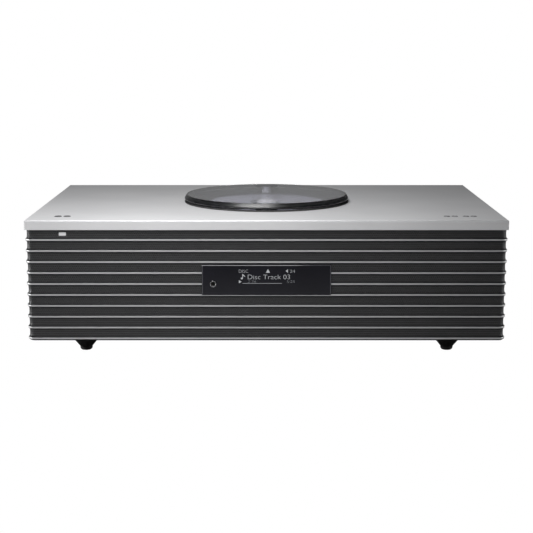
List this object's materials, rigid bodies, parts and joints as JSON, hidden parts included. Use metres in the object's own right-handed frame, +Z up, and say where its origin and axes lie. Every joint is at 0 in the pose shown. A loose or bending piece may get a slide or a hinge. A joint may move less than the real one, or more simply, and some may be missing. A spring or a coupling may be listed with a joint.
{
  "type": "one-box hifi system",
  "caption": "Slim one-box hifi: aluminium top panel, wrap-round finned grille, display window, top-loading disc drive under a swivelling clear lid.",
  "frame": {"origin": "on the floor under the middle of the case", "axes": "+X to the listener's right, front faces -Y, +Z up"},
  "size_m": [0.45, 0.28, 0.143],
  "materials": {
    "satin_aluminium": "fine brushed satin, machined edges",
    "fin_aluminium": "machined tips, black flanks",
    "perforated_black": "matt black powder coat, perforated",
    "black_cabinet": "fine grained moulding",
    "black_steel": "matt black paint",
    "window_black": "glossy tinted acrylic",
    "smoked_clear": "polished smoked acrylic",
    "well_black": "satin dark grey",
    "foot_black": "satin black",
    "rubber_black": "matt",
    "key_silver": "turned satin",
    "key_dark": "satin dark",
    "bright_steel": "plain zinc plated",
    "chrome_ring": "polished",
    "cone_paper": "coated pulp",
    "board_green": "solder mask",
    "gear_white": "acetal",
    "lens_glass": "coated lens",
    "socket_black": "moulded",
    "display_glass": "dark glass",
    "badge_silver": "satin"
  },
  "bodies": {
    "case": {"aerial_sockets": "bright_steel", "aux_socket": "socket_black", "base_plate": "black_steel", "bass_ports": "black_cabinet", "cabinet": "black_cabinet", "case_screws": "bright_steel", "deck_dampers": "rubber_black", "deck_screws": "bright_steel", "disc_well": "well_black", "display_module": "display_glass", "display_tray": "black_cabinet", "display_window": "window_black", "drive_deck": "bright_steel", "feed_motor": "bright_steel", "feet": "foot_black", "foot_pads": "rubber_black", "front_badge": "badge_silver", "grille_fins": "fin_aluminium", "grille_mesh": "perforated_black", "guide_rods": "chrome_ring", "headphone_jack": "chrome_ring", "heatsink": "satin_aluminium", "key_boards": "board_green", "lan_socket": "bright_steel", "left_woofer_frame": "black_steel", "left_woofer_surround": "rubber_black", "lid_pivot_cap": "key_silver", "lid_pivot_post": "key_silver", "lid_seat_ring": "rubber_black", "lid_washer": "socket_black", "main_board": "board_green", "mains_inlet": "socket_black", "optical_socket": "socket_black", "power_board": "board_green", "rear_panel": "black_cabinet", "right_woofer_frame": "black_steel", "right_woofer_surround": "rubber_black", "socket_plate": "black_steel", "spindle_motor": "bright_steel", "subwoofer_frame": "black_steel", "subwoofer_guard": "black_steel", "subwoofer_surround": "rubber_black", "top_panel": "satin_aluminium", "tweeters": "cone_paper", "usb_socket": "bright_steel"},
    "lid": {"cd_lid": "smoked_clear"},
    "spindle": {"spindle_hub": "socket_black"},
    "sled": {"pickup_sled": "black_cabinet"},
    "lens": {"objective_lens": "lens_glass"},
    "feed_wheel": {"feed_gear": "gear_white"},
    "pinion": {"feed_pinion": "gear_white"},
    "left_cone": {"left_woofer_cone": "cone_paper"},
    "right_cone": {"right_woofer_cone": "cone_paper"},
    "bass_cone": {"subwoofer_cone": "cone_paper"},
    "power_button": {"power_key": "key_dark"},
    "source_button": {"source_key": "key_dark"},
    "volume_down_button": {"volume_down_key": "key_silver"},
    "volume_up_button": {"volume_up_key": "key_silver"},
    "stop_button": {"stop_key": "key_silver"},
    "play_button": {"play_key": "key_silver"}
  },
  "joints": [
    {"name": "lid_swivel", "type": "hinge", "parent": "case", "child": "lid", "pos_m": [0, 0.0686, 0.14], "axis": [0, 0, 1], "range_deg": [-120, 120]},
    {"name": "spindle_spin", "type": "hinge", "parent": "case", "child": "spindle", "pos_m": [0, 0, 0.13], "axis": [0, 0, 1], "continuous": true},
    {"name": "sled_slide", "type": "slide", "parent": "case", "child": "sled", "axis": [0, -1, 0], "range_m": [0, 0.034]},
    {"name": "lens_focus", "type": "slide", "parent": "sled", "child": "lens", "axis": [0, 0, 1], "range_m": [-0.0005, 0.0005], "stiffness_N_per_m": 30},
    {"name": "feed_wheel_spin", "type": "hinge", "parent": "case", "child": "feed_wheel", "pos_m": [0.035, -0.038, 0.117], "axis": [0, 0, 1], "range_deg": [-1, 488.1]},
    {"name": "pinion_spin", "type": "hinge", "parent": "case", "child": "pinion", "pos_m": [0.035, -0.024, 0.115], "axis": [0, 0, 1], "range_deg": [-1462, 1]},
    {"name": "left_cone_stroke", "type": "slide", "parent": "case", "child": "left_cone", "axis": [0, -1, 0], "range_m": [-0.002, 0.002], "stiffness_N_per_m": 1500, "deforming": ["left_woofer_surround"]},
    {"name": "right_cone_stroke", "type": "slide", "parent": "case", "child": "right_cone", "axis": [0, -1, 0], "range_m": [-0.002, 0.002], "stiffness_N_per_m": 1500, "deforming": ["right_woofer_surround"]},
    {"name": "bass_cone_stroke", "type": "slide", "parent": "case", "child": "bass_cone", "axis": [0, 0, -1], "range_m": [-0.004, 0.004], "stiffness_N_per_m": 1800, "deforming": ["subwoofer_surround"]},
    {"name": "power_press", "type": "slide", "parent": "case", "child": "power_button", "axis": [0, 0, -1], "range_m": [0, 0.0007], "stiffness_N_per_m": 300},
    {"name": "source_press", "type": "slide", "parent": "case", "child": "source_button", "axis": [0, 0, -1], "range_m": [0, 0.0007], "stiffness_N_per_m": 300},
    {"name": "volume_down_press", "type": "slide", "parent": "case", "child": "volume_down_button", "axis": [0, 0, -1], "range_m": [0, 0.0007], "stiffness_N_per_m": 300},
    {"name": "volume_up_press", "type": "slide", "parent": "case", "child": "volume_up_button", "axis": [0, 0, -1], "range_m": [0, 0.0007], "stiffness_N_per_m": 300},
    {"name": "stop_press", "type": "slide", "parent": "case", "child": "stop_button", "axis": [0, 0, -1], "range_m": [0, 0.0007], "stiffness_N_per_m": 300},
    {"name": "play_press", "type": "slide", "parent": "case", "child": "play_button", "axis": [0, 0, -1], "range_m": [0, 0.0007], "stiffness_N_per_m": 300}
  ],
  "couplings": [
    {"joint": "feed_wheel_spin", "follows": "sled_slide", "rad_per_m": 250},
    {"joint": "pinion_spin", "follows": "sled_slide", "rad_per_m": -750}
  ]
}
